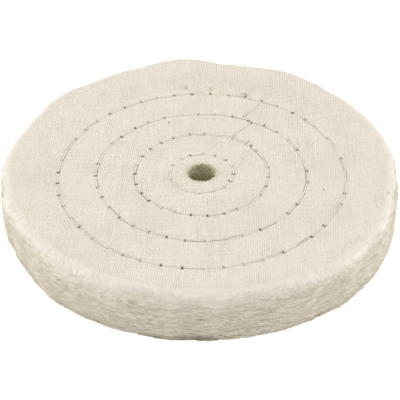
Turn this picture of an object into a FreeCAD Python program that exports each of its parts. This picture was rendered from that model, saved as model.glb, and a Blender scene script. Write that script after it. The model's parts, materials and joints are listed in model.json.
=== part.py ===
import FreeCAD, Part
import math
import os
import Sketcher

# A sewn cloth buffing wheel: a stack of round cotton plies, punched for the grinder's
# arbor and held together by four concentric rings of lock stitch. The stitching presses
# the plies together; outside its last ring they fan out, up and down, to a thicker rim.
# Each ring has a needle thread on the top face and a bobbin thread on the bottom face,
# pulled in flush with the cloth; they go down and up the same needle holes and lock half
# way through the stack.
# Millimetres, +Z along the arbor, origin under the arbor hole at the height of the
# rim's lowest face, which the wheel lies on.

DIMENSIONS = {
    "wheel_diameter": 152.4,
    "arbor_hole_diameter": 12.7,
    "ply_count": 50,
    "ply_thickness": 0.3,
    # the plies fan out between these two radii, to this height of the whole rim
    "flare_start_radius": 58.0,
    "flare_end_radius": 70.0,
    "rim_height": 20.0,
    "needle_hole_diameter": 1.0,
    "thread_leg_diameter": 0.7,
    "thread_run_width": 0.5,
    "thread_run_height": 0.2,
    # how far a jump starts from the middle of the needle hole that it comes out of
    "jump_gap": 0.45,
    # radius, number of stitches, and the angle of the hole where the ring's sewing starts
    "ring_one_radius": 12.5,
    "ring_one_stitches": 16,
    "ring_one_angle": -3.2,
    "ring_two_radius": 26.0,
    "ring_two_stitches": 27,
    "ring_two_angle": 60.8,
    "ring_three_radius": 40.7,
    "ring_three_stitches": 36,
    "ring_three_angle": 61.7,
    "ring_four_radius": 55.6,
    "ring_four_stitches": 47,
    "ring_four_angle": 63.4,
    # stitches sewn over again, past the start, before the thread jumps to the next ring
    "ring_two_overlap": 1,
    "ring_three_overlap": 0,
    "ring_four_overlap": 0,
}
RINGS = ("one", "two", "three", "four")
RING_OUTSIDE = {"one": "two", "two": "three", "three": "four"}

HUB_HEIGHT = "(dims.ply_count * dims.ply_thickness)"
HUB_BOTTOM = f"((dims.rim_height - {HUB_HEIGHT}) / 2)"
HUB_TOP = f"((dims.rim_height + {HUB_HEIGHT}) / 2)"
LOCK_HEIGHT = "(dims.rim_height / 2)"
# where the thread's run in each face starts from, upwards
RUN_BASE = {"top": f"{HUB_TOP} - dims.thread_run_height", "bottom": HUB_BOTTOM}

doc = FreeCAD.newDocument("buffing_wheel")


def make_sheet():
    """The driving dimensions, one alias a row."""
    sheet = doc.addObject("Spreadsheet::Sheet", "dims")
    for row, (alias, value) in enumerate(DIMENSIONS.items(), start=1):
        sheet.set(f"A{row}", alias)
        sheet.set(f"B{row}", str(value))
        sheet.setAlias(f"B{row}", alias)
    doc.recompute()
    return sheet


def origin_feature(body, role):
    return next(f for f in body.Origin.OriginFeatures if f.Role == role)


def new_sketch(body, name, plane="XY_Plane", x="0", y="0", height="0"):
    """An empty sketch on one of the body's own origin planes, moved by three expressions."""
    sketch = body.newObject("Sketcher::SketchObject", name)
    sketch.AttachmentSupport = [(origin_feature(body, plane), "")]
    sketch.MapMode = "FlatFace"
    sketch.setExpression("AttachmentOffset.Base.x", x)
    sketch.setExpression("AttachmentOffset.Base.y", y)
    sketch.setExpression("AttachmentOffset.Base.z", height)
    return sketch


def constrain(sketch, kind, *where, to):
    """A driving dimension bound to an expression of the sheet's cells."""
    index = sketch.addConstraint(Sketcher.Constraint(kind, *where, 1.0))
    sketch.setExpression(f"Constraints[{index}]", to)


def add_circle(sketch, diameter):
    """A circle round the sketch's origin."""
    circle = sketch.addGeometry(Part.Circle())
    sketch.addConstraint(Sketcher.Constraint("Coincident", circle, 3, -1, 1))
    constrain(sketch, "Diameter", circle, to=diameter)


def add_polygon(sketch, corners):
    """A closed outline whose corners are pairs of expressions, measured from the origin."""
    count = len(corners)
    points = [FreeCAD.Vector(1 + n, 1 + n * n, 0) for n in range(count)]
    for n in range(count):
        sketch.addGeometry(Part.LineSegment(points[n], points[(n + 1) % count]))
    for n in range(count):
        sketch.addConstraint(Sketcher.Constraint("Coincident", n, 2, (n + 1) % count, 1))
    for n, (x, y) in enumerate(corners):
        constrain(sketch, "DistanceX", -1, 1, n, 1, to=x)
        constrain(sketch, "DistanceY", -1, 1, n, 1, to=y)


def start_hole(ring):
    """Where the ring's sewing starts, as two expressions."""
    radius, angle = f"dims.ring_{ring}_radius", f"dims.ring_{ring}_angle"
    return f"{radius} * cos({angle})", f"{radius} * sin({angle})"


def end_hole(ring):
    """Where the ring's sewing ends, past its start by the stitches sewn over again."""
    radius, stitches = f"dims.ring_{ring}_radius", f"dims.ring_{ring}_stitches"
    overlap = f"dims.ring_{ring}_overlap * 360 / {stitches}"
    angle = f"(dims.ring_{ring}_angle - {overlap})"
    return f"{radius} * cos({angle})", f"{radius} * sin({angle})"


def new_body(name):
    body = doc.addObject("PartDesign::Body", name)
    body.Label = name
    return body


def pad_round_axis(body, name, ring, diameter, base, length, down=False):
    """A round post at each of the ring's needle holes, from the height base."""
    x, y = start_hole(ring)
    sketch = new_sketch(body, f"{name}_section", x=x, y=y, height=base)
    add_circle(sketch, diameter)
    post = body.newObject("PartDesign::Pad", f"{name}_post")
    post.Profile = sketch
    post.Reversed = down
    post.setExpression("Length", length)
    pattern = body.newObject("PartDesign::PolarPattern", f"{name}_posts")
    pattern.Originals = [post]
    pattern.Axis = (origin_feature(body, "Z_Axis"), [""])
    pattern.Angle = 360
    pattern.setExpression("Occurrences", f"dims.ring_{ring}_stitches")
    body.Tip = pattern


def revolve(body, name, corners):
    """A full turn of an outline, given as radius and height, about the wheel's axis."""
    profile = new_sketch(body, f"{name}_profile", "XZ_Plane")
    add_polygon(profile, corners)
    turned = body.newObject("PartDesign::Revolution", name)
    turned.Profile = profile
    turned.ReferenceAxis = (profile, ["V_Axis"])
    turned.Angle = 360
    body.Tip = turned


def make_needle_paths():
    """The way of the needle through the whole stack, at every stitch of every ring."""
    body = new_body("needle_paths")
    body.AllowCompound = True
    for ring in RINGS:
        name = f"needle_path_ring_{ring}"
        pad_round_axis(body, name, ring, "dims.needle_hole_diameter", "0", "dims.rim_height")
    return body


def cut(name, base, tool):
    """The base less the tool."""
    result = doc.addObject("Part::Cut", name)
    result.Label = name
    result.Base = base
    result.Tool = tool
    return result


def make_ply(name, level, needle_paths):
    """One disc of cloth, level plies up the stack, pierced by every stitch."""
    blank = new_body(f"{name}_blank")
    thickness = "dims.ply_thickness"
    hub_base = f"{HUB_BOTTOM} + {level} * {thickness}"
    rim_base = f"{level} * (dims.rim_height - {thickness}) / (dims.ply_count - 1)"
    hole, edge = "dims.arbor_hole_diameter / 2", "dims.wheel_diameter / 2"
    lower_face = [
        (hole, hub_base),
        ("dims.flare_start_radius", hub_base),
        ("dims.flare_end_radius", rim_base),
        (edge, rim_base),
    ]
    upper_face = [(radius, f"{height} + {thickness}") for radius, height in lower_face]
    revolve(blank, f"{name}_disc", lower_face + upper_face[::-1])
    return cut(name, blank, needle_paths)


def make_cover(name, level, needle_paths, threads):
    """An outermost ply, with grooves in its face that the threads' runs lie flush in."""
    pierced = make_ply(f"{name}_pierced", level, needle_paths)
    runs = doc.addObject("Part::MultiFuse", f"{name}_threads")
    runs.Shapes = threads
    return cut(name, pierced, runs)


def make_thread(name, ring, side):
    """One ring's thread in one face: its run, its legs to the lock and the jump into it."""
    body = new_body(name)
    radius, half = f"dims.ring_{ring}_radius", "dims.thread_run_width / 2"
    base, height = RUN_BASE[side], "dims.thread_run_height"
    inside, outside = f"{radius} - {half}", f"{radius} + {half}"
    low, high = base, f"{base} + {height}"
    revolve(body, f"{name}_run", [(inside, low), (outside, low), (outside, high), (inside, high)])

    leg_length = f"{HUB_HEIGHT} / 2 - {height} / 2"
    diameter, down = "dims.thread_leg_diameter", side == "bottom"
    pad_round_axis(body, f"{name}_leg", ring, diameter, LOCK_HEIGHT, leg_length, down)

    if ring in RING_OUTSIDE:
        from_x, from_y = end_hole(RING_OUTSIDE[ring])
        to_x, to_y = start_hole(ring)
        across, along = f"(({to_x}) - ({from_x}))", f"(({to_y}) - ({from_y}))"
        outline = new_sketch(body, f"{name}_jump_outline", x=from_x, y=from_y, height=base)
        outline.setExpression("AttachmentOffset.Rotation.Angle", f"atan2({along}; {across})")
        near, far = "dims.jump_gap", f"hypot({across}; {along})"
        left, right = half, f"-{half}"
        add_polygon(outline, [(near, right), (far, right), (far, left), (near, left)])
        jump = body.newObject("PartDesign::Pad", f"{name}_jump")
        jump.Profile = outline
        jump.setExpression("Length", height)
        body.Tip = jump
    return body


def check_document():
    """Stops if any object failed to build."""
    for obj in doc.Objects:
        if {"Invalid", "Error"} & set(obj.State):
            raise RuntimeError(f"{obj.Name} failed: {obj.State}")


def check_holes(plies, dims):
    """Stops if a ply wasn't pierced by every stitch: each hole takes out one round plug."""
    stitches = sum(getattr(dims, f"ring_{ring}_stitches") for ring in RINGS)
    disc = dims.wheel_diameter**2 - dims.arbor_hole_diameter**2
    holes = stitches * dims.needle_hole_diameter**2
    expected = math.pi / 4 * (disc - holes) * dims.ply_thickness
    for ply in plies:
        if abs(ply.Shape.Volume / expected - 1) > 0.0001:
            raise RuntimeError(f"{ply.Label} holds {ply.Shape.Volume}, not {expected}")


def check_flush(cover, pierced, dims):
    """Stops if the grooves didn't take the runs' share out of a cover."""
    turns = sum(getattr(dims, f"ring_{ring}_radius") for ring in RINGS) * 2 * math.pi
    section = dims.thread_run_width * dims.thread_run_height
    taken = pierced.Shape.Volume - cover.Shape.Volume
    if not 0.8 < taken / (turns * section) < 1.1:
        raise RuntimeError(f"the grooves of {cover.Label} take out {taken}")


dims = make_sheet()
count = int(dims.ply_count)
needle_paths = make_needle_paths()
needle_threads = [make_thread(f"needle_thread_ring_{ring}", ring, "top") for ring in RINGS]
bobbin_threads = [make_thread(f"bobbin_thread_ring_{ring}", ring, "bottom") for ring in RINGS]
inner_plies = [
    make_ply(f"cloth_ply_{level + 1:02d}", level, needle_paths) for level in range(1, count - 1)
]
top = make_cover("cover_ply_top", count - 1, needle_paths, needle_threads)
bottom = make_cover("cover_ply_bottom", 0, needle_paths, bobbin_threads)

doc.recompute()
check_document()
check_holes(inner_plies + [top.Base, bottom.Base], dims)
check_flush(top, top.Base, dims)
check_flush(bottom, bottom.Base, dims)

os.makedirs("parts", exist_ok=True)
parts = [bottom, *inner_plies, top, *needle_threads, *bobbin_threads]
for part in parts:
    shape = part.Shape
    if shape.isNull() or not shape.isValid() or len(shape.Solids) != 1:
        raise RuntimeError(f"{part.Label} is not one valid solid")
    shape.exportStep(f"parts/{part.Label}.step")
print(len(parts), "parts")
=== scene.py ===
import json
import math

import bpy
import numpy as np
from mathutils import Matrix, Vector


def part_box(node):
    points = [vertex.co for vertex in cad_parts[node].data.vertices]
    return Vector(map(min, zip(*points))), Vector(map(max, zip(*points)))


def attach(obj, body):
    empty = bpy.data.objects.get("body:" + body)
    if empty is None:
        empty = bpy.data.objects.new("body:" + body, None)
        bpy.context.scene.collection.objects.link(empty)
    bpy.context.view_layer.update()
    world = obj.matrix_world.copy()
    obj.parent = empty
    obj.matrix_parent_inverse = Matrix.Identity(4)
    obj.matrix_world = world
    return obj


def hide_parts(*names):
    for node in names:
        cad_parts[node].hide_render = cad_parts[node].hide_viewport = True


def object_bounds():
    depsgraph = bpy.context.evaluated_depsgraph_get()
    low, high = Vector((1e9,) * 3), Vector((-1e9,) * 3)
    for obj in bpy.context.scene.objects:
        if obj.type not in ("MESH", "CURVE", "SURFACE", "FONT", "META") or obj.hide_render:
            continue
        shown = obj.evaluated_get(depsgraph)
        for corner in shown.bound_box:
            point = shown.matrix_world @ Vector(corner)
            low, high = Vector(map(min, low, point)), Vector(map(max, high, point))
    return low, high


# A sewn cotton buffing wheel. Lengths are in millimetres until a mesh or a light is made.
# Every ply is its own soft, frayed sheet; the plies are flat and tight where they are
# sewn, fan out beyond the last ring of stitches, and end in a matted, fluffy rim.

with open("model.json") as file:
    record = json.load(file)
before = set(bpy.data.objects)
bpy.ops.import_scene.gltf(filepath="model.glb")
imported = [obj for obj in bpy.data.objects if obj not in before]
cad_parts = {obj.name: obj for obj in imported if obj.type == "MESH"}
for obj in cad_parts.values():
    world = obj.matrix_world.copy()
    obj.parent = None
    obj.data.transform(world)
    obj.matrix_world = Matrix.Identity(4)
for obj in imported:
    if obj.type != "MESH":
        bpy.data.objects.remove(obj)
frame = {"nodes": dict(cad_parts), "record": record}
cad_low, cad_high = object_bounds()
MM = 0.001
TURN = 2 * math.pi

# ---------------------------------------------------------------- sizes from the frame

WHEEL_RADIUS = (cad_high.x - cad_low.x) / 2 / MM
RIM_HEIGHT = (cad_high.z - cad_low.z) / MM
PLY = 0.3
HUB_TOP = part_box("cover_ply_top")[0].z / MM + PLY
HUB_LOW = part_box("cover_ply_bottom")[1].z / MM - PLY
MIDDLE = RIM_HEIGHT / 2
MOUNTS = {mount["name"]: mount for mount in frame["record"]["mounts"]}
BORE_RADIUS = MOUNTS["arbor_hole"]["dims"]["r_mm"]
PLIES = sorted((n for n in frame["nodes"] if "_ply_" in n), key=lambda n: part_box(n)[0].z)

# radii where the plies leave the sewn hub and where they reach the rim's full height
FLARE_START = 57.5
FLARE_END = 69.0
# how wide the rounded shoulder is, how far the top plies droop over it and how far the
# lowest ones turn up
SHOULDER = 3.8
DROOP = 2.4
UPTURN = 0.9

# rings of stitches: radius, number of stitches, and the angle of the first hole
RINGS = {
    "one": (12.5, 16, -3.2),
    "two": (26.0, 27, 61.1),
    "three": (40.7, 36, 61.7),
    "four": (55.6, 47, 94.0),
}
# the thread is sewn inwards without a break: where each ring is entered and where it is
# left, as an angle and a radius, and the stitches sewn a second time, each with how far
# it runs beside the first one
ENTRY = {"one": (6.0, 12.4), "two": (63.2, 28.5), "three": (65.8, 42.6)}
LEAVING = {"two": (43.0, 26.6), "three": (59.7, 39.9), "four": (63.4, 56.0)}
SEWN_TWICE = {"one": (0.1, -0.4), "two": (0.9, 1.3), "three": (0.3,), "four": (0.4, 3.9, 0.6, 0.9)}
RING_OUTSIDE = {"one": "two", "two": "three", "three": "four"}
THREAD_RADIUS = 0.22
# cloth and fibres are pressed flat this little above the floor
FLOOR_GAP = 0.03

# the outline isn't round: each swelling's angle and half width in degrees, and its height
LOBES = (
    (108, 46, 3.4),
    (95, 10, 3.1),
    (84, 5, -0.8),
    (60, 12, 2.1),
    (35, 14, 1.1),
    (22, 13, 0.8),
    (139, 9, 2.3),
    (162, 12, 0.8),
    (181, 16, 1.0),
    (-90, 34, 0.3),
    (-118, 12, 0.4),
    (-62, 10, 0.5),
    (-46, 10, 1.0),
    (-27, 8, 0.4),
    (-12, 13, -1.0),
    (-131, 12, 0.9),
)


def degrees_apart(theta, centre):
    """Signed distance of angles in radians from one in degrees, in degrees."""
    return (np.degrees(theta) - centre + 180) % 360 - 180


def swelling(theta, centre, width, height):
    """A bell-shaped rise at an angle, with a half width, both in degrees."""
    return height * np.exp(-((degrees_apart(theta, centre) / width) ** 2))


def outline(theta):
    """The rim's radius all round."""
    radius = np.full(np.shape(theta), WHEEL_RADIUS)
    for lobe in LOBES:
        radius = radius + swelling(theta, *lobe)
    return radius


def smooth_step(value):
    """0 to 1 with level ends."""
    value = np.clip(value, 0.0, 1.0)
    return value * value * (3 - 2 * value)


def shortfall(share, theta):
    """How much shorter a ply is than the middle one: share is 1 at the top, -1 below."""
    front = swelling(theta, -90, 62, 2.9)
    worn = swelling(theta, -128, 22, 1.5)
    rise, fall = np.clip(share, 0, 1), np.clip(-share, 0, 1)
    return (0.1 + front + worn) * rise**2.5 + 0.7 * rise**8 + 0.9 * fall**8


def ripple(rng, low, high, size):
    """A random function of the angle, with low to high waves a turn, of that rms size."""
    count = 4096
    spectrum = np.zeros(count // 2 + 1, complex)
    waves = high - low
    spectrum[low:high] = rng.normal(size=waves) + 1j * rng.normal(size=waves)
    values = np.fft.irfft(spectrum, count)
    values *= size / values.std()
    grid = np.arange(count) * TURN / count
    return lambda theta: np.interp(np.mod(theta, TURN), grid, values, period=TURN)


# ---------------------------------------------------------------- mesh helpers


def ring_angles(count):
    """Evenly spaced angles all round."""
    return np.arange(count) * TURN / count


def polar(radius, theta, height):
    """Points from radii, angles and heights."""
    return np.stack([radius * np.cos(theta), radius * np.sin(theta), height], 1)


def round_about(theta):
    """The direction along a circle at each angle."""
    return np.stack([-np.sin(theta), np.cos(theta), np.zeros(len(theta))], 1)


def unit(vectors):
    """The vectors at length 1."""
    return vectors / (np.linalg.norm(vectors, axis=1)[:, None] + 1e-9)


def zip_rows(faces, first_a, angles_a, first_b, angles_b):
    """Joins two closed rows of points that have different numbers of points."""
    count_a, count_b = len(angles_a), len(angles_b)
    a = b = 0
    while a < count_a or b < count_b:
        next_a = angles_a[a + 1] if a + 1 < count_a else angles_a[0] + TURN
        next_b = angles_b[b + 1] if b + 1 < count_b else angles_b[0] + TURN
        here_a, here_b = first_a + a % count_a, first_b + b % count_b
        if b >= count_b or (a < count_a and next_a <= next_b):
            faces.append((here_a, here_b, first_a + (a + 1) % count_a))
            a += 1
        else:
            faces.append((here_a, here_b, first_b + (b + 1) % count_b))
            b += 1


def join_rows(rows):
    """Faces of a closed sheet whose rows of points run round it, the last row to the first."""
    faces, starts, start = [], [], 0
    for angles in rows:
        starts.append(start)
        start += len(angles)
    for n, angles in enumerate(rows):
        m = (n + 1) % len(rows)
        if len(rows[m]) == len(angles):
            j = np.arange(len(angles))
            k = (j + 1) % len(angles)
            p, q = starts[n], starts[m]
            faces.extend(np.stack([p + j, q + j, q + k, p + k], 1).tolist())
        else:
            zip_rows(faces, starts[n], angles, starts[m], rows[m])
    return faces


def new_piece(name, points, faces, material, marks=None):
    """A piece that rides on the wheel, from points in millimetres; marks are named values."""
    mesh = bpy.data.meshes.new(name)
    points = np.array(points)
    points[:, 2] = np.maximum(points[:, 2], FLOOR_GAP)
    mesh.from_pydata((points * MM).tolist(), [], faces)
    mesh.validate()
    mesh.polygons.foreach_set("use_smooth", [True] * len(mesh.polygons))
    for mark, values in (marks or {}).items():
        layer = mesh.attributes.new(mark, "FLOAT", "POINT")
        layer.data.foreach_set("value", np.asarray(values, np.float32))
    mesh.materials.append(material)
    piece = bpy.data.objects.new(name, mesh)
    bpy.context.scene.collection.objects.link(piece)
    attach(piece, "root")
    return piece


# ---------------------------------------------------------------- stitches


# the innermost ring gets less painted shade in its holes and beside its runs, most at this angle
# in degrees
FAINT_RING = "one"
FAINT_RING_DARKEST = 50


def sew_rings():
    """Where the needle went through: for each ring, x, y and how strong the painted shade in every
    hole is.
    """
    rng = np.random.default_rng(11)
    seams = {}
    for ring, (radius, stitches, first) in RINGS.items():
        step = TURN / stitches
        again = SEWN_TWICE[ring]
        turns = np.arange(stitches + len(again))
        angles = math.radians(first) - turns * step
        angles[1:] += rng.normal(size=len(turns) - 1) * step * 0.04
        radii = radius + ripple(rng, 2, 9, 0.16)(angles) + rng.normal(size=len(turns)) * 0.06
        radii[stitches:] += again
        if ring in ENTRY:
            angles = np.append(math.radians(ENTRY[ring][0]), angles)
            radii = np.append(ENTRY[ring][1], radii)
        if ring in LEAVING:
            angles = np.append(angles, math.radians(LEAVING[ring][0]))
            radii = np.append(radii, LEAVING[ring][1])
        dark = np.clip(rng.normal(size=len(angles)) * 0.4 + 0.7, 0.15, 1.0)
        if ring == FAINT_RING:
            dark *= 0.6 + 0.4 * np.cos(angles - math.radians(FAINT_RING_DARKEST))
        dark[-1] = 1.0
        seams[ring] = (radii * np.cos(angles), radii * np.sin(angles), dark)
    return seams


SEAMS = sew_rings()


def away_from_run(x, y, start, end):
    """Distance of points from the straight run between two holes, and the side they are on."""
    span = np.subtract(end, start)
    length = np.hypot(*span)
    along = ((x - start[0]) * span[0] + (y - start[1]) * span[1]) / length
    aside = ((y - start[1]) * span[0] - (x - start[0]) * span[1]) / length
    past = np.maximum(np.maximum(-along, along - length), 0)
    return np.hypot(aside, past), np.sign(aside)


# a seam is a broad valley with a narrow groove under each run and a well at each hole,
# which is deeper than the groove by this many times the strength of its painted shade
VALLEY_DEPTH, VALLEY_WIDTH = 0.28, 2.8
GROOVE_DEPTH, GROOVE_WIDTH = 0.24, 0.42
WELL_DEEPER, WELL_WIDTH = 3.0, 0.5
# the shadow line beside a run: how far from its middle, and how wide
GAP_AWAY, GAP_WIDTH = 0.28, 0.16
# a hole and its run are pressed into the cloth within this distance along x and y
STITCH_REACH = 6


def seam_dip(x, y):
    """How deep the stitching pulls the cloth down, and how much painted shade it gets: a shadow
    line beside each run and a dark well at each hole.
    """
    rng = np.random.default_rng(21)
    dip, pit_shade = np.zeros(np.shape(x)), np.zeros(np.shape(x))
    radius = np.hypot(x, y)
    for ring, (hole_x, hole_y, dark) in SEAMS.items():
        dip += VALLEY_DEPTH * np.exp(-(((radius - RINGS[ring][0]) / VALLEY_WIDTH) ** 2))
        groove = np.zeros(np.shape(x))
        for n in range(len(hole_x)):
            near = np.abs(x - hole_x[n]) < STITCH_REACH
            near &= np.abs(y - hole_y[n]) < STITCH_REACH
            if n + 1 < len(hole_x):
                start, end = (hole_x[n], hole_y[n]), (hole_x[n + 1], hole_y[n + 1])
                away, aside = away_from_run(x[near], y[near], start, end)
                groove[near] = np.maximum(groove[near], np.exp(-((away / GROOVE_WIDTH) ** 2)))
                # painted shadow line along one side of the run
                gap = np.exp(-(((away - GAP_AWAY) / GAP_WIDTH) ** 2)) * rng.uniform(0.1, 0.95)
                gap *= 0.4 if ring == FAINT_RING else 1.0
                shown = np.where(aside == rng.choice([-1, 1]), 1.0, 0.25)
                pit_shade[near] = np.maximum(pit_shade[near], gap * shown)
            # painted shade in the well at the hole
            away = np.hypot(x[near] - hole_x[n], y[near] - hole_y[n])
            well = np.exp(-((away / WELL_WIDTH) ** 2))
            groove[near] = np.maximum(groove[near], well * (1 + WELL_DEEPER * dark[n]))
            pit_shade[near] = np.maximum(pit_shade[near], np.minimum(well * 2.0, 1) * dark[n])
        dip += GROOVE_DEPTH * groove
    return dip, pit_shade


# ---------------------------------------------------------------- plies

# how the rim wanders up and down and in and out, how its fibres are combed up or down, and
# the slow waves of a soft face: each one's rate, heading and phase
rng_rim = np.random.default_rng(5)
RIM_WANDER = ripple(rng_rim, 2, 8, 0.30)
RIM_SWELL = ripple(rng_rim, 9, 40, 0.16)
COMB = ripple(rng_rim, 6, 60, 1.0)
SHEET_SWELL = [
    (rng_rim.uniform(0.05, 0.16), rng_rim.uniform(0, TURN), rng_rim.uniform(0, TURN))
    for _ in range(9)
]


def cloth_swell(x, y):
    """The slow unevenness of a soft face, about a tenth of a millimetre."""
    total = np.zeros(np.shape(x))
    for rate, heading, phase in SHEET_SWELL:
        along = x * math.cos(heading) + y * math.sin(heading)
        total = total + np.sin(along * rate * 2.2 + phase)
    return total * 0.035


def share_of(level):
    """-1 for the lowest ply to 1 for the top one."""
    return 2 * level / (len(PLIES) - 1) - 1


# how far the stitches squeeze the plies, and half the width of what each ring squeezes
SQUEEZE_DEPTH, SQUEEZE_WIDTH = 1.3, 2.0


def squeeze(radius, share):
    """How far the tight stitches squeeze an outer ply towards the middle of the stack."""
    total = sum(np.exp(-(((radius - ring[0]) / SQUEEZE_WIDTH) ** 4)) for ring in RINGS.values())
    return SQUEEZE_DEPTH * total * max(0.0, abs(share) - 0.5) * 2 * np.sign(share)


# the top plies are lifted where the outline swells out at the back: angle and half width
# in degrees, and height
LIFT = (97, 11, 0.9)


def middle_height(share, radius, theta, inside):
    """Height of a ply's middle, at a radius that is inside millimetres within its edge."""
    hub_half = (HUB_TOP - HUB_LOW - PLY) / 2
    rim_half = (RIM_HEIGHT - PLY) / 2
    flare = smooth_step((radius - FLARE_START) / (FLARE_END - FLARE_START))
    lift = swelling(theta, *LIFT) * np.clip(share, 0, 1) ** 3
    half = hub_half + (rim_half - hub_half) * flare
    bend = np.clip(1 - inside / SHOULDER, 0, 1.2) ** 2
    droop = np.where(share > 0, DROOP, -UPTURN) * bend * abs(share) ** 1.5
    # the lowest plies lie on the floor, so the rim's own waves die out towards them
    wave = RIM_WANDER(theta) * flare * (0.5 + 0.5 * share)
    return MIDDLE + share * half - droop + wave * 0.8 + lift * flare


# how far in from its edge a ply is loose and fluffed up
LOOSE = 4


class Ply:
    """One sheet of cloth of the stack: its edge, its bore and the height of its faces."""

    def __init__(self, level):
        rng = np.random.default_rng(100 + level)
        self.share = share_of(level)
        self.edge_parts = [ripple(rng, 14, 70, 0.09), ripple(rng, 70, 300, 0.08)]
        self.fray = ripple(rng, 300, 800, 0.05)
        self.wave = ripple(rng, 20, 140, 0.09)
        self.bore_wave = ripple(rng, 3, 40, 0.20)
        self.trim = rng.normal() * 0.05

    def edge(self, theta):
        """The radius of the frayed outer edge."""
        total = outline(theta) + RIM_SWELL(theta) + self.trim + self.fray(theta)
        return total + sum(part(theta) for part in self.edge_parts) - shortfall(self.share, theta)

    def bore(self, theta):
        """The radius of the punched hole, which frayed cloth closes in."""
        return BORE_RADIUS - 0.45 - 0.35 * abs(self.share) ** 6 + self.bore_wave(theta)

    def thickness(self, inside):
        """Half the sheet's thickness: the cut edge is fluffed up."""
        return PLY / 2 + 0.06 * smooth_step(1 - inside / LOOSE)

    def height(self, radius, theta, inside, face):
        """Height of the upper face for 1, of the lower one for -1, and between for between."""
        middle = middle_height(self.share, radius, theta, inside)
        if abs(self.share) < 1:
            middle = middle - squeeze(radius, self.share)
        loose = smooth_step(1 - inside / LOOSE)
        return middle + self.wave(theta) * loose + face * self.thickness(inside)


# the rows on the flare end this far inside the edge
FLARE_MARGIN = 7.5


def ply_row(ply, count, face, radius=None, inside=None, mouth=None, between=None):
    """A row of points round a ply: at a radius, or inside its edge, or outside its bore.

    Between is a share of the way from where the plies leave the hub to near the edge.
    """
    theta = ring_angles(count)
    edge = ply.edge(theta)
    if mouth is not None:
        radii = ply.bore(theta) + mouth
    elif inside is not None:
        radii = edge - inside
    elif between is not None:
        radii = FLARE_START + (edge - FLARE_MARGIN - FLARE_START) * between
    else:
        radii = np.full(count, float(radius))
    height = ply.height(radii, theta, edge - radii, face)
    return theta, radii, height


def ply_mesh(ply, spec):
    """Points, faces and marks of a ply from its list of rows."""
    rows = [ply_row(ply, **row) for row in spec]
    theta = np.concatenate([row[0] for row in rows])
    radius = np.concatenate([row[1] for row in rows])
    height = np.concatenate([row[2] for row in rows])
    # nap is 1 on the fluffy outer millimetres and burr at the frayed edge of the hole
    marks = {
        "nap": smooth_step((3.5 - (ply.edge(theta) - radius)) / 1.6),
        "burr": smooth_step(1 - (radius - BORE_RADIUS) / 1.0),
        "share": np.full(len(theta), ply.share),
    }
    return polar(radius, theta, height), join_rows([row[0] for row in rows]), marks


# points in a row: round the rim, round the hole, on a hidden face, between two rings of
# stitches, on the flare, and for each stitch of a ring
RIM_COUNT = 1200
BORE_COUNT = 200
HIDDEN_COUNT = 180
OPEN_COUNT = 360
FLARE_COUNT = 600
PER_STITCH = 20
# half the width of the fine band along a ring, the radius where the rows outside the hole
# start, and about how far apart the rows between two bands are
SEAM_BAND = 1.8
OPEN_START = 8.5
ROW_GAP = 1.6


def inner_spec():
    """Rows of a ply that shows only its two edges, each with its distance in and its face."""
    mouth = [(0.9, 1), (0.2, 0.8), (0.0, 0.0), (0.2, -0.8), (0.9, -1)]
    edge = [(6.0, 1), (1.4, 1), (0.35, 0.95), (0.06, 0.5), (0.0, -0.05)]
    edge += [(0.08, -0.55), (0.4, -0.95), (1.4, -1), (6.0, -1)]
    rim = [dict(count=RIM_COUNT, face=face, inside=inside) for inside, face in edge]
    lip = [dict(count=BORE_COUNT, face=face, mouth=out) for out, face in mouth[::-1]]
    radii = [ring[0] + off for ring in RINGS.values() for off in (-3, -1.5, 1.5, 3)]
    flare = [0.2, 0.4, 0.6, 0.8, 1.0]
    lower = [dict(count=HIDDEN_COUNT, face=-1, between=share) for share in flare[::-1]]
    lower += [dict(count=HIDDEN_COUNT, face=-1, radius=radius) for radius in radii[::-1]]
    upper = [dict(count=HIDDEN_COUNT, face=1, radius=radius) for radius in radii]
    upper += [dict(count=HIDDEN_COUNT, face=1, between=share) for share in flare]
    return rim + lower + lip + upper


def cover_spec():
    """Rows of a cover ply: fine along its rings of stitches on the face that shows."""
    shown = [dict(count=BORE_COUNT, face=1, mouth=out) for out in (0.35, 0.9, 1.7)]
    hidden = []
    band = (-SEAM_BAND, -1.15, -0.75, -0.45, -0.22, 0, 0.22, 0.45, 0.75, 1.15, SEAM_BAND)
    reach = OPEN_START
    for radius, stitches, _ in RINGS.values():
        gap = radius - SEAM_BAND - reach
        steps = round(gap / ROW_GAP)
        for n in range(1, steps):
            shown.append(dict(count=OPEN_COUNT, face=1, radius=reach + gap * n / steps))
        for off in band:
            shown.append(dict(count=stitches * PER_STITCH, face=1, radius=radius + off))
            if abs(off) < 1:
                hidden.append(dict(count=stitches * PER_STITCH, face=-1, radius=radius + off))
        reach = radius + SEAM_BAND
    for n in range(1, 9):
        shown.append(dict(count=FLARE_COUNT, face=1, between=n / 9))
    for inside in (6.6, 5.6, 4.8, 4.1, 3.5, 2.9, 2.4, 1.9, 1.4, 0.9, 0.5):
        shown.append(dict(count=RIM_COUNT, face=1, inside=inside))
    edge = [(0.25, 0.9), (0.06, 0.5), (0.0, -0.05), (0.08, -0.6), (0.4, -0.95)]
    rim = [dict(count=RIM_COUNT, face=face, inside=inside) for inside, face in edge]
    under = [dict(count=FLARE_COUNT, face=-1, inside=inside) for inside in (2, 4.5, 7.5, 12, 17)]
    mouth = [(0.9, -1), (0.2, -0.8), (0.0, -0.1), (0.08, 0.6)]
    lip = [dict(count=BORE_COUNT, face=face, mouth=out) for out, face in mouth]
    return shown + rim + under + hidden[::-1] + lip


def make_inner_ply(level, material):
    """A ply inside the stack."""
    ply = Ply(level)
    points, faces, marks = ply_mesh(ply, inner_spec())
    return new_piece(f"cloth_{level + 1:02d}", points, faces, material, marks)


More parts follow.
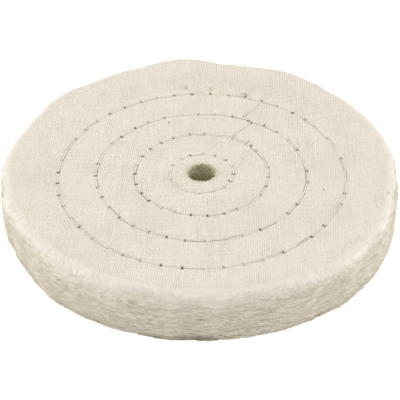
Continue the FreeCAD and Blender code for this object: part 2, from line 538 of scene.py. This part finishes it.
def make_cover(level, side, material):
    """The top or bottom ply, with its quilted and stitched face."""
    ply = Ply(level)
    points, faces, marks = ply_mesh(ply, cover_spec())
    if side < 0:
        # the rows are listed for an upward face, so the lower cover is made turned over
        points[:, 2] = 2 * middle_of(ply, points) - points[:, 2]
        faces = [face[::-1] for face in faces]
    dip, pit_shade = seam_dip(points[:, 0], points[:, 1])
    points[:, 2] += side * (cloth_swell(points[:, 0], points[:, 1]) - dip)
    marks["pit_shade"] = pit_shade
    name = "cover_top" if side > 0 else "cover_bottom"
    return new_piece(name, points, faces, material, marks)


def middle_of(ply, points):
    """The ply's middle height at each of some points."""
    radius, theta = np.hypot(points[:, 0], points[:, 1]), np.arctan2(points[:, 1], points[:, 0])
    return ply.height(radius, theta, ply.edge(theta) - radius, 0)


def face_height(x, y, side):
    """Height of the outer face of the top or bottom cover in its sewn part."""
    dip, _ = seam_dip(x, y)
    face = HUB_TOP if side > 0 else HUB_LOW
    return face + side * (cloth_swell(x, y) - dip)


# ---------------------------------------------------------------- thread


def smooth_path(points, spacing):
    """A Catmull-Rom curve through points, sampled about every spacing millimetres."""
    points = np.asarray(points, float)
    before = np.vstack([2 * points[0] - points[1], points, 2 * points[-1] - points[-2]])
    out = []
    for n in range(len(points) - 1):
        a, b, c, d = before[n : n + 4]
        steps = max(2, int(np.linalg.norm(c - b) / spacing))
        for t in np.arange(steps)[:, None] / steps:
            out.append(
                0.5 * (2 * b + (c - a) * t + (2 * a - 5 * b + 4 * c - d) * t**2
                       + (3 * b - a - 3 * c + d) * t**3)
            )
    out.append(points[-1])
    return np.array(out)


def twisted_tube(path, radius, sides=10, strands=3, lay=1.3):
    """Points and faces of a thread of twisted strands that follows a path of some radius."""
    tangents = unit(np.gradient(path, axis=0))
    length = np.concatenate([[0], np.cumsum(np.linalg.norm(np.diff(path, axis=0), axis=1))])
    across = np.cross(tangents[0], (0.0, 0.3, 1.0))
    across /= np.linalg.norm(across)
    around = np.arange(sides) * TURN / sides
    points = []
    for here, tangent, along, size in zip(path, tangents, length, radius):
        across = across - tangent * (across @ tangent)
        across /= np.linalg.norm(across)
        other = np.cross(tangent, across)
        swell = 1 + 0.16 * np.cos(strands * (around - TURN * along / lay / strands))
        ring = np.cos(around)[:, None] * across + np.sin(around)[:, None] * other
        points.append(here + ring * (size * swell)[:, None])
    points = np.concatenate(points)
    faces = []
    for n in range(len(path) - 1):
        for k in range(sides):
            m = (k + 1) % sides
            faces.append((n * sides + k, n * sides + m, (n + 1) * sides + m, (n + 1) * sides + k))
    faces.append(tuple(range(sides))[::-1])
    faces.append(tuple((len(path) - 1) * sides + k for k in range(sides)))
    return points, faces


# a run's points are about this far apart, its ends are this far from the holes, and a run
# that is lifted rises over this length
RUN_SPACING, RUN_INSET, RUN_RISE = 0.9, 0.3, 1.1


def surface_run(start, end, lift, bow):
    """A thread lying on a face from one hole to the next: x, y and height over the face."""
    start, end = np.array(start), np.array(end)
    span = end - start
    length = np.linalg.norm(span)
    sideways = np.array([-span[1], span[0]]) / length
    steps = max(5, round(length / RUN_SPACING))
    inset = RUN_INSET / length
    shares = [inset, *(np.arange(1, steps) / steps), 1 - inset]
    points = []
    for share in shares:
        flat = start + span * share + sideways * bow * math.sin(math.pi * share)
        arch = min(1.0, share * length / RUN_RISE, (1 - share) * length / RUN_RISE)
        points.append((*flat, THREAD_RADIUS * 0.7 + lift * arch))
    return points


def make_thread(ring, side, material):
    """A ring's thread on one face: its jump in, its runs, and its legs to the lock."""
    rng = np.random.default_rng(len(ring) * 7 + (3 if side > 0 else 9))
    stations = list(zip(*SEAMS[ring][:2]))
    if ring in RING_OUTSIDE:
        outer_x, outer_y, _ = SEAMS[RING_OUTSIDE[ring]]
        stations.insert(0, (outer_x[-1], outer_y[-1]))
    face = HUB_TOP if side > 0 else HUB_LOW
    # heights on a leg: just under the face, just before the lock, and at the lock
    deep, lower, lock = face - side * 1.5, MIDDLE + side * 0.5, MIDDLE + side * 0.2
    path, on_face = [], []
    for n in range(len(stations) - 1):
        jump = n == 0 and ring in RING_OUTSIDE
        lift, bow = (0.08, 0.35) if jump else (0.0, rng.normal() * 0.06)
        start, end = np.array(stations[n]), np.array(stations[n + 1])
        aim = (end - start) / np.linalg.norm(end - start) * 0.1
        path += [(*(start + aim), lower), (*(start + aim), deep)]
        run = surface_run(start, end, lift, bow)
        on_face += range(len(path), len(path) + len(run))
        path += run
        path += [(*(end - aim), deep), (*(end - aim), lower), (*end, lock)]
    path = np.array(path)
    resting = face_height(path[on_face, 0], path[on_face, 1], side)
    path[on_face, 2] = resting + side * path[on_face, 2]
    path = smooth_path(path, 0.3)
    tight = smooth_step((side * (face - path[:, 2]) - 0.6) / 0.5)
    points, faces = twisted_tube(path, THREAD_RADIUS * (1 - 0.35 * tight))
    # painted shade on the thread where it goes below the face into a hole
    marks = {"pit_shade": smooth_step((side * (face - points[:, 2]) - 0.5) / 0.35)}
    kind = "needle" if side > 0 else "bobbin"
    name = f"{kind}_thread_{ring}"
    piece = new_piece(name, points, faces, material, marks)
    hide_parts(f"{kind}_thread_ring_{ring}")


# ---------------------------------------------------------------- fibres


# a fibre's spans, and how much of its width it loses towards its tip
FIBRE_SPANS = 4
FIBRE_TAPER = 0.75


def fibre_strips(roots, headings, lengths, curl, outward, rng, width):
    """Thin curved strips that taper, from roots along headings: their points and faces."""
    count, spans = len(roots), FIBRE_SPANS
    heading = unit(headings)
    turn = rng.normal(size=(count, 3)) * curl
    points = np.zeros((count, spans + 1, 2, 3))
    here = roots.copy()
    for n in range(spans + 1):
        taper = 1 - FIBRE_TAPER * n / spans
        side = unit(np.cross(heading, outward))
        points[:, n, 0] = here - side * (width * taper / 2)[:, None]
        points[:, n, 1] = here + side * (width * taper / 2)[:, None]
        here = here + heading * (lengths / spans)[:, None]
        heading = unit(heading + turn / spans)
    strip = (np.arange(count) * (spans + 1) * 2)[:, None]
    corner = strip + (np.arange(spans) * 2)[None, :]
    faces = np.stack([corner, corner + 1, corner + 3, corner + 2], -1).reshape(-1, 4)
    return points.reshape(-1, 3), faces.tolist()


def rim_surface(theta, share):
    """Point, outward normal and tangent on the rim's surface, share from -1 up to 1."""
    radius = outline(theta) + RIM_SWELL(theta) - shortfall(share, theta)
    height = middle_height(share, radius, theta, 0.0)
    tilt = np.sign(share) * np.clip((np.abs(share) - 0.4) / 0.6, 0, 1) ** 1.5 * 0.9
    outward = polar(np.cos(tilt), theta, np.sin(tilt))
    return polar(radius, theta, height), outward, round_about(theta)


def make_rim_nap(name, count, low, high, seed, material):
    """Fibres combed round the rim, between two heights given as shares."""
    rng = np.random.default_rng(seed)
    theta, share = rng.uniform(0, TURN, count), rng.uniform(low, high, count)
    point, outward, tangent = rim_surface(theta, share)
    lay = rng.choice([-1.0, 1.0], count)[:, None]
    up = np.array([0.0, 0.0, 1.0])
    heading = tangent * lay + outward * rng.uniform(0.0, 0.28, count)[:, None]
    heading = heading + up * (rng.normal(size=count) * 0.16 + COMB(theta) * 0.25)[:, None]
    lengths = rng.uniform(1.2, 5.5, count)
    roots = point - outward * 0.12
    width = rng.uniform(0.06, 0.20, count)
    points, faces = fibre_strips(roots, heading, lengths, 0.4, outward, rng, width)
    return new_piece(name, points, faces, material)


def make_shoulder_nap(name, side, count, seed, material):
    """Fibres lying on the outer few millimetres of a cover's face."""
    rng = np.random.default_rng(seed)
    ply = Ply(len(PLIES) - 1 if side > 0 else 0)
    theta = rng.uniform(0, TURN, count)
    inside = np.abs(rng.normal(size=count)) * 1.8 + 0.05
    edge = ply.edge(theta)
    radius = edge - inside
    height = ply.height(radius, theta, inside, side * 1.0)
    point = polar(radius, theta, height)
    point[:, 2] += side * (cloth_swell(point[:, 0], point[:, 1]) - 0.02)
    tilt = np.clip(1 - inside / SHOULDER, 0, 1) ** 1.3 * 0.65
    outward = polar(np.sin(tilt), theta, side * np.cos(tilt))
    heading = rng.normal(size=(count, 3))
    heading -= outward * (heading * outward).sum(1)[:, None]
    heading /= np.linalg.norm(heading, axis=1)[:, None]
    heading = heading * 0.4 + round_about(theta) * rng.choice([-1.0, 1.0], count)[:, None]
    heading += outward * rng.uniform(0.0, 0.12, count)[:, None]
    lengths = rng.uniform(0.5, 1.8, count)
    width = rng.uniform(0.04, 0.08, count)
    points, faces = fibre_strips(point, heading, lengths, 0.9, outward, rng, width)
    return new_piece(name, points, faces, material)


def make_bore_nap(name, count, seed, material):
    """Short fibres that close in on the punched hole."""
    rng = np.random.default_rng(seed)
    theta = rng.uniform(0, TURN, count)
    height = rng.uniform(HUB_LOW + 0.2, HUB_TOP - 0.05, count)
    root = polar(BORE_RADIUS - 0.35, theta, height)
    inward = -polar(1.0, theta, np.zeros(count))
    heading = inward + rng.normal(size=(count, 3)) * 0.7
    lengths = rng.uniform(0.4, 1.4, count)
    width = rng.uniform(0.05, 0.10, count)
    points, faces = fibre_strips(root, heading, lengths, 0.8, inward, rng, width)
    return new_piece(name, points, faces, material)


# ---------------------------------------------------------------- materials


class Nodes:
    """A new material's node tree, with short ways to add and link its nodes."""

    def __init__(self, name):
        self.material = bpy.data.materials.new(name)
        self.material.use_nodes = True
        self.tree = self.material.node_tree
        self.shader = self.tree.nodes["Principled BSDF"]

    def add(self, kind, inputs=None, **settings):
        """A node, with values or links for its inputs."""
        node = self.tree.nodes.new(kind)
        for key, value in settings.items():
            setattr(node, key, value)
        for key, value in (inputs or {}).items():
            if isinstance(value, bpy.types.NodeSocket):
                self.tree.links.new(value, node.inputs[key])
            else:
                node.inputs[key].default_value = value
        return node

    def math(self, operation, first, second=0.0, clamp=False):
        """The result of an operation on two values."""
        node = self.add("ShaderNodeMath", {0: first, 1: second}, operation=operation)
        node.use_clamp = clamp
        return node.outputs[0]

    def mix(self, share, first, second):
        """A colour between two."""
        node = self.add("ShaderNodeMix", data_type="RGBA")
        for socket, value in (("Factor_Float", share), ("A_Color", first), ("B_Color", second)):
            target = next(s for s in node.inputs if s.identifier == socket)
            if isinstance(value, bpy.types.NodeSocket):
                self.tree.links.new(value, target)
            else:
                target.default_value = value
        return next(s for s in node.outputs if s.identifier == "Result_Color")

    def place(self, scale=(1, 1, 1), turn=0.0):
        """Where a point is, in millimetres times scale, turned about +Z by degrees."""
        where = self.add("ShaderNodeTexCoord").outputs["Object"]
        inputs = {"Vector": where, "Scale": [s / MM for s in scale]}
        inputs["Rotation"] = (0, 0, math.radians(turn))
        return self.add("ShaderNodeMapping", inputs, vector_type="POINT").outputs[0]

    def noise(self, vector, scale=1.0, detail=2.0, rough=0.5):
        """Soft random values around one half."""
        inputs = {"Vector": vector, "Scale": scale, "Detail": detail, "Roughness": rough}
        return self.add("ShaderNodeTexNoise", inputs).outputs["Fac"]

    def spread(self, value, low, high, to_low=0.0, to_high=1.0):
        """Stretches the range low..high to to_low..to_high, and clamps."""
        names = ("From Min", "From Max", "To Min", "To Max")
        inputs = {"Value": value, **dict(zip(names, (low, high, to_low, to_high)))}
        return self.add("ShaderNodeMapRange", inputs).outputs[0]

    def mark(self, name):
        """One of the values that new_piece writes on a mesh."""
        return self.add("ShaderNodeAttribute", attribute_name=name).outputs["Fac"]

    def bump(self, height, distance):
        """Relief of a height, in millimetres."""
        inputs = {"Height": height, "Distance": distance * MM, "Strength": 1.0}
        node = self.add("ShaderNodeBump", inputs)
        self.tree.links.new(node.outputs[0], self.shader.inputs["Normal"])

    def finish(self, base, roughness, sheen, tint):
        """Links the shader and sets its constant values; returns the material."""
        self.tree.links.new(base, self.shader.inputs["Base Color"])
        self.tree.links.new(roughness, self.shader.inputs["Roughness"])
        self.shader.inputs["Specular IOR Level"].default_value = 0.15
        self.shader.inputs["Sheen Weight"].default_value = sheen
        self.shader.inputs["Sheen Roughness"].default_value = 0.6
        self.shader.inputs["Sheen Tint"].default_value = (*tint, 1)
        return self.material


def colour(red, green, blue):
    """A linear colour from one in 0..255 as a screen shows it."""
    shown = np.array([red, green, blue]) / 255
    linear = np.where(shown <= 0.04045, shown / 12.92, ((shown + 0.055) / 1.055) ** 2.4)
    return (*linear.tolist(), 1.0)


# the spacing of the weave's lines both ways, and the degrees it is turned by
WARP_PITCH = 0.77
WEFT_PITCH = 0.80
WEAVE_TURN = 4.0
OLIVE = colour(112, 97, 60)
# the dark brown of the painted shade in the needle holes
NEEDLE_PIT_SHADE = colour(58, 40, 4)

# specks and smudges on the top face, and a dirty patch on the rim's lower edge: centre,
# half sizes and strength
FACE_STAINS = (
    ((18.5, 54.9, HUB_TOP), (2.5, 1.4, 4), 0.4),
    ((-13.2, 34.1, HUB_TOP), (0.6, 1.0, 4), 1.0),
    ((5.3, 36.0, HUB_TOP), (0.5, 0.6, 4), 0.7),
    ((46.3, -11.2, HUB_TOP), (0.6, 0.7, 4), 0.9),
    ((70.2, -15.2, HUB_TOP), (0.9, 1.0, 4), 0.7),
)
EDGE_STAINS = (
    ((-1.5, -75.5, 1.7), (12.0, 8.0, 3.2), 0.75),
    ((-15.0, -74.0, 1.4), (9.0, 8.0, 2.4), 0.6),
)


def stained(n, base, stains):
    """Olive-brown spots over a colour, with soft and ragged edges."""
    ragged = n.math("MULTIPLY", n.noise(n.place((0.9, 0.9, 0.9)), detail=3.0), 1.1)
    for centre, half, strength in stains:
        where = n.add("ShaderNodeTexCoord").outputs["Object"]
        scale = [1 / (size * MM) for size in half]
        shift = [-place / size for place, size in zip(centre, half)]
        inputs = {"Vector": where, "Scale": scale, "Location": shift}
        local = n.add("ShaderNodeMapping", inputs, vector_type="POINT").outputs[0]
        away = n.add("ShaderNodeVectorMath", {0: local}, operation="LENGTH").outputs["Value"]
        share = n.spread(n.math("ADD", away, ragged), 0.75, 1.6, strength, 0.0)
        base = n.mix(share, base, OLIVE)
    return base


def muslin():
    """The covers' unbleached plain weave: uneven yarns both ways, slubs, flecks and a nap."""
    n = Nodes("muslin")
    nap, pit_shade, burr = n.mark("nap"), n.mark("pit_shade"), n.mark("burr")
    place = n.place(turn=WEAVE_TURN)
    # the yarns aren't quite straight
    drift = n.noise(n.place((0.05, 0.012, 0.05), WEAVE_TURN), detail=2.0)
    axes = n.add("ShaderNodeSeparateXYZ", {0: place})
    x = n.math("ADD", axes.outputs[0], n.math("MULTIPLY", drift, 2.6))
    y = n.math("ADD", axes.outputs[1], n.math("MULTIPLY", drift, 1.9))
    warp = n.math("SINE", n.math("MULTIPLY", x, TURN / WARP_PITCH))
    weft = n.math("SINE", n.math("MULTIPLY", y, TURN / WEFT_PITCH))
    warp_place = n.place((1.0 / WARP_PITCH, 0.07, 0.1), WEAVE_TURN)
    warp_yarn = n.noise(warp_place, detail=3.0, rough=0.6)
    weft_place = n.place((0.07, 1.0 / WEFT_PITCH, 0.1), WEAVE_TURN)
    weft_yarn = n.noise(weft_place, detail=3.0, rough=0.6)
    grain = n.noise(n.place((1.3, 0.8, 1.3), WEAVE_TURN), detail=3.0, rough=0.7)
    patch = n.spread(n.noise(n.place((0.09, 0.06, 0.07)), detail=3.0), 0.40, 0.60, 0.55, 1.0)
    crossing = n.math("ADD", n.math("MULTIPLY", weft, 0.25), 0.6)
    lines = n.math("ADD", n.math("MULTIPLY", warp, crossing), n.math("MULTIPLY", weft, 0.25))
    yarns = n.math(
        "ADD",
        n.math("MULTIPLY", n.math("SUBTRACT", warp_yarn, 0.5), 1.6),
        n.math("MULTIPLY", n.math("SUBTRACT", weft_yarn, 0.5), 1.2),
    )
    weave = n.math("MULTIPLY", n.math("ADD", lines, yarns), patch)
    weave = n.math("ADD", weave, n.math("MULTIPLY", n.math("SUBTRACT", grain, 0.5), 2.2))
    weave = n.math("MULTIPLY", weave, n.spread(nap, 0.0, 1.0, 1.0, 0.1))
    tone = n.math("ADD", n.math("MULTIPLY", weave, 0.44), 0.5, clamp=True)
    base = n.mix(tone, colour(203, 190, 168), colour(252, 246, 235))
    warm = n.noise(n.place((0.035, 0.035, 0.035)), detail=2.0)
    base = n.mix(n.spread(warm, 0.4, 0.6, 0.0, 0.3), base, colour(226, 217, 203))
    # the fluffy shoulder, with painted shade on its two flanks, left and right
    cloud = n.noise(n.place((0.35, 0.35, 0.35)), detail=4.0)
    fluff = n.mix(cloud, colour(233, 225, 215), colour(245, 238, 231))
    painted_flank_shade = n.spread(n.math("ABSOLUTE", axes.outputs[0]), 35.0, 70.0, 0.0, 0.7)
    fluff = n.mix(painted_flank_shade, fluff, colour(223, 214, 203))
    base = n.mix(n.math("MULTIPLY", nap, 0.75), base, fluff)
    flecks = n.add("ShaderNodeTexVoronoi", {"Vector": n.place((0.13, 0.13, 0.13)), "Scale": 1.0})
    fleck = n.spread(flecks.outputs["Distance"], 0.02, 0.045, 0.4, 0.0)
    base = n.mix(fleck, base, colour(150, 132, 100))
    base = stained(n, base, FACE_STAINS)
    # painted shade: a tan edge along the stitch grooves, then dark brown wells at the needle holes
    base = n.mix(n.spread(pit_shade, 0.0, 0.45, 0.0, 0.5), base, colour(172, 146, 96))
    base = n.mix(n.spread(pit_shade, 0.1, 0.85, 0.0, 0.98), base, NEEDLE_PIT_SHADE)
    base = n.mix(n.math("MULTIPLY", burr, 0.6), base, colour(205, 195, 168))
    n.bump(n.math("ADD", weave, n.math("MULTIPLY", n.noise(place, 3.0, 3.0), 0.5)), 0.10)
    return n.finish(base, n.spread(tone, 0, 1, 0.95, 0.8), 0.2, (1.0, 0.97, 0.94))


def ply_edge():
    """The cut and fluffed edges of the inner plies: streaks that run round the rim, with painted
    highlight and painted shade by height.
    """
    n = Nodes("ply_edge")
    burr, share = n.mark("burr"), n.mark("share")
    fine = n.noise(n.place((0.5, 0.5, 2.4)), detail=4.0, rough=0.6)
    streak = n.noise(n.place((0.11, 0.11, 1.1)), detail=3.0, rough=0.6)
    broad = n.noise(n.place((0.05, 0.05, 0.12)), detail=2.0)
    tone = n.math("ADD", n.math("MULTIPLY", fine, 0.45), n.math("MULTIPLY", streak, 0.55))
    base = n.mix(n.spread(tone, 0.40, 0.60), colour(204, 194, 172), colour(239, 233, 220))
    base = n.mix(n.spread(broad, 0.4, 0.6, 0.0, 0.3), base, colour(220, 213, 196))
    # painted highlight on the top plies, painted shade in a band under them and painted shade at
    # the foot
    ragged = n.math("ADD", share, n.math("MULTIPLY", n.math("SUBTRACT", broad, 0.5), 0.5))
    base = n.mix(n.spread(ragged, 0.5, 1.0, 0.0, 0.75), base, colour(242, 235, 226))
    under = n.math("MULTIPLY", n.spread(ragged, 0.3, 0.75), n.spread(ragged, 1.0, 0.88))
    # the painted shade under the top plies is weaker towards the left
    across = n.add("ShaderNodeSeparateXYZ", {0: n.place()}).outputs[0]
    under = n.math("MULTIPLY", under, n.spread(across, -65.0, -15.0, 0.05, 0.35))
    base = n.mix(under, base, colour(196, 187, 166))
    base = n.mix(n.spread(ragged, -0.5, -1.0, 0.0, 0.3), base, colour(196, 187, 162))
    # the hole is dirty with an olive tint, and painted shade darkens it further down
    inside = n.noise(n.place((1.2, 1.2, 2.0)), detail=4.0, rough=0.7)
    dirt_and_shade = n.mix(n.spread(inside, 0.42, 0.56), colour(214, 198, 138), colour(255, 253, 236))
    dirt_and_shade = n.mix(n.spread(share, 0.6, -0.2, 0.0, 0.3), dirt_and_shade, colour(120, 104, 60))
    base = n.mix(burr, base, dirt_and_shade)
    base = stained(n, base, EDGE_STAINS)
    n.bump(n.math("ADD", fine, streak), 0.12)
    return n.finish(base, n.spread(tone, 0.3, 0.7, 0.95, 0.82), 0.35, (1.0, 0.98, 0.95))


def fibre(name, dark, light):
    """Loose cotton fibres."""
    n = Nodes(name)
    tone = n.noise(n.place((0.35, 0.35, 1.3)), detail=3.0, rough=0.6)
    base = n.mix(n.spread(tone, 0.38, 0.62), dark, light)
    base = stained(n, base, EDGE_STAINS)
    n.bump(n.noise(n.place((4, 4, 4)), detail=2.0), 0.02)
    return n.finish(base, n.spread(tone, 0.3, 0.7, 0.9, 0.75), 0.2, (1.0, 0.98, 0.95))


def thread():
    """Spun cotton sewing thread, close to the cloth's colour."""
    n = Nodes("sewing_thread")
    tone = n.noise(n.place((2.2, 2.2, 2.2)), detail=3.0, rough=0.6)
    base = n.mix(n.spread(tone, 0.35, 0.65), colour(228, 219, 202), colour(248, 242, 230))
    # painted shade where the thread goes down into a hole
    base = n.mix(n.mark("pit_shade"), base, NEEDLE_PIT_SHADE)
    n.bump(n.noise(n.place((7, 7, 7)), detail=2.0), 0.03)
    return n.finish(base, n.spread(tone, 0.3, 0.7, 0.85, 0.7), 0.1, (1.0, 0.97, 0.92))


FLOOR_GLOW = 0.56


def floor_acrylic():
    """White acrylic lit from below, so that a shadow on it all but vanishes."""
    n = Nodes("light_table")
    tooth = n.noise(n.place((0.2, 0.2, 0.2)), detail=3.0)
    base = n.mix(tooth, (0.90, 0.90, 0.90, 1), (0.92, 0.92, 0.92, 1))
    n.shader.inputs["Emission Color"].default_value = (1.0, 1.0, 1.0, 1)
    n.shader.inputs["Emission Strength"].default_value = FLOOR_GLOW
    return n.finish(base, n.spread(tooth, 0, 1, 0.9, 1.0), 0.0, (1, 1, 1))


# ---------------------------------------------------------------- camera and studio

# angles in degrees: the tilt, pan and roll turn it from its aim, the middle of the top face
CAMERA_ELEVATION = 36.9
CAMERA_DISTANCE = 490.4
CAMERA_LENS = 114.1
CAMERA_SENSOR = 36.0
CAMERA_TILT = 1.24
CAMERA_PAN = 0.08
CAMERA_ROLL = -0.25


def make_camera():
    """A long lens that looks down on the wheel from the front."""
    data = bpy.data.cameras.new("camera")
    data.lens, data.sensor_width = CAMERA_LENS, CAMERA_SENSOR
    data.clip_start, data.clip_end = 0.01, 20.0
    camera = bpy.data.objects.new("camera", data)
    bpy.context.scene.collection.objects.link(camera)
    rise = math.radians(CAMERA_ELEVATION)
    target = Vector((0, 0, HUB_TOP))
    back = Vector((0, -math.cos(rise), math.sin(rise)))
    camera.rotation_mode = "QUATERNION"
    aim = (-back).to_track_quat("-Z", "Y")
    tilt = Matrix.Rotation(math.radians(-CAMERA_TILT), 4, "X")
    pan = Matrix.Rotation(math.radians(CAMERA_PAN), 4, "Y")
    roll = Matrix.Rotation(math.radians(CAMERA_ROLL), 4, "Z")
    camera.rotation_quaternion = aim @ (pan @ tilt @ roll).to_quaternion()
    camera.location = (target + back * CAMERA_DISTANCE) * MM
    bpy.context.scene.camera = camera


def make_softbox(name, where, size, power):
    """A square light that faces the wheel."""
    data = bpy.data.lights.new(name, "AREA")
    data.shape, data.size, data.energy = "SQUARE", size, power
    light = bpy.data.objects.new(name, data)
    bpy.context.scene.collection.objects.link(light)
    light.location = where
    light.rotation_mode = "QUATERNION"
    light.rotation_quaternion = (-Vector(where)).to_track_quat("-Z", "Y")


# soft lights: where each one stands and its width in metres, and its power in watts
SOFTBOXES = {
    "softbox_top": ((-0.15, 0.25, 1.1), 1.0, 5.75),
    "softbox_left": ((-1.15, 0.0, 0.4), 0.8, 5.0),
    "softbox_right": ((1.15, 0.0, 0.35), 0.8, 6.2),
}
SKY_STRENGTH = 0.52
# half the floor's width in metres
FLOOR_HALF = 3.0


def make_studio():
    """A white floor, an even white sky and three large soft lights."""
    half = FLOOR_HALF
    mesh = bpy.data.meshes.new("floor")
    corners = [(-half, -half, 0), (half, -half, 0), (half, half, 0), (-half, half, 0)]
    mesh.from_pydata(corners, [], [(0, 1, 2, 3)])
    mesh.materials.append(floor_acrylic())
    floor = bpy.data.objects.new("floor", mesh)
    bpy.context.scene.collection.objects.link(floor)
    world = bpy.data.worlds.new("sky")
    world.use_nodes = True
    sky = world.node_tree.nodes["Background"]
    sky.inputs["Color"].default_value = (1.0, 1.0, 1.0, 1)
    sky.inputs["Strength"].default_value = SKY_STRENGTH
    bpy.context.scene.world = world
    for name, (where, size, power) in SOFTBOXES.items():
        make_softbox(name, where, size, power)
    bpy.context.scene.view_settings.view_transform = "Standard"


# ---------------------------------------------------------------- build

make_camera()
make_studio()

# the materials of the plies, each a disc with its hole, and of the fibres and the thread
muslin_material, edge_material = muslin(), ply_edge()
nap_material = fibre("rim_fibres", colour(200, 190, 169), colour(241, 236, 224))
crown_material = fibre("shoulder_fibres", colour(224, 215, 206), colour(244, 237, 230))
bore_material = fibre("bore_fibres", colour(206, 194, 150), colour(252, 246, 224))
thread_material = thread()

top_nap = make_shoulder_nap("nap_top", 1, count=9000, seed=31, material=crown_material)
bottom_nap = make_shoulder_nap("nap_bottom", -1, count=5000, seed=32, material=crown_material)
# the rim's fibres are made in five bands from foot to top, each this much of a share
BAND = 0.4
for n in range(5):
    low, high = -1 + n * BAND, BAND - 1 + n * BAND
    make_rim_nap(f"nap_rim_{n + 1}", 5000, low, high, 40 + n, nap_material)
bore_nap = make_bore_nap("nap_bore", count=650, seed=50, material=bore_material)

last = len(PLIES) - 1
for level, node in enumerate(PLIES):
    if level in (0, last):
        piece = make_cover(level, 1 if level else -1, muslin_material)
    else:
        piece = make_inner_ply(level, edge_material)
    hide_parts(node)

for ring in RINGS:
    for side in (1, -1):
        make_thread(ring, side, thread_material)
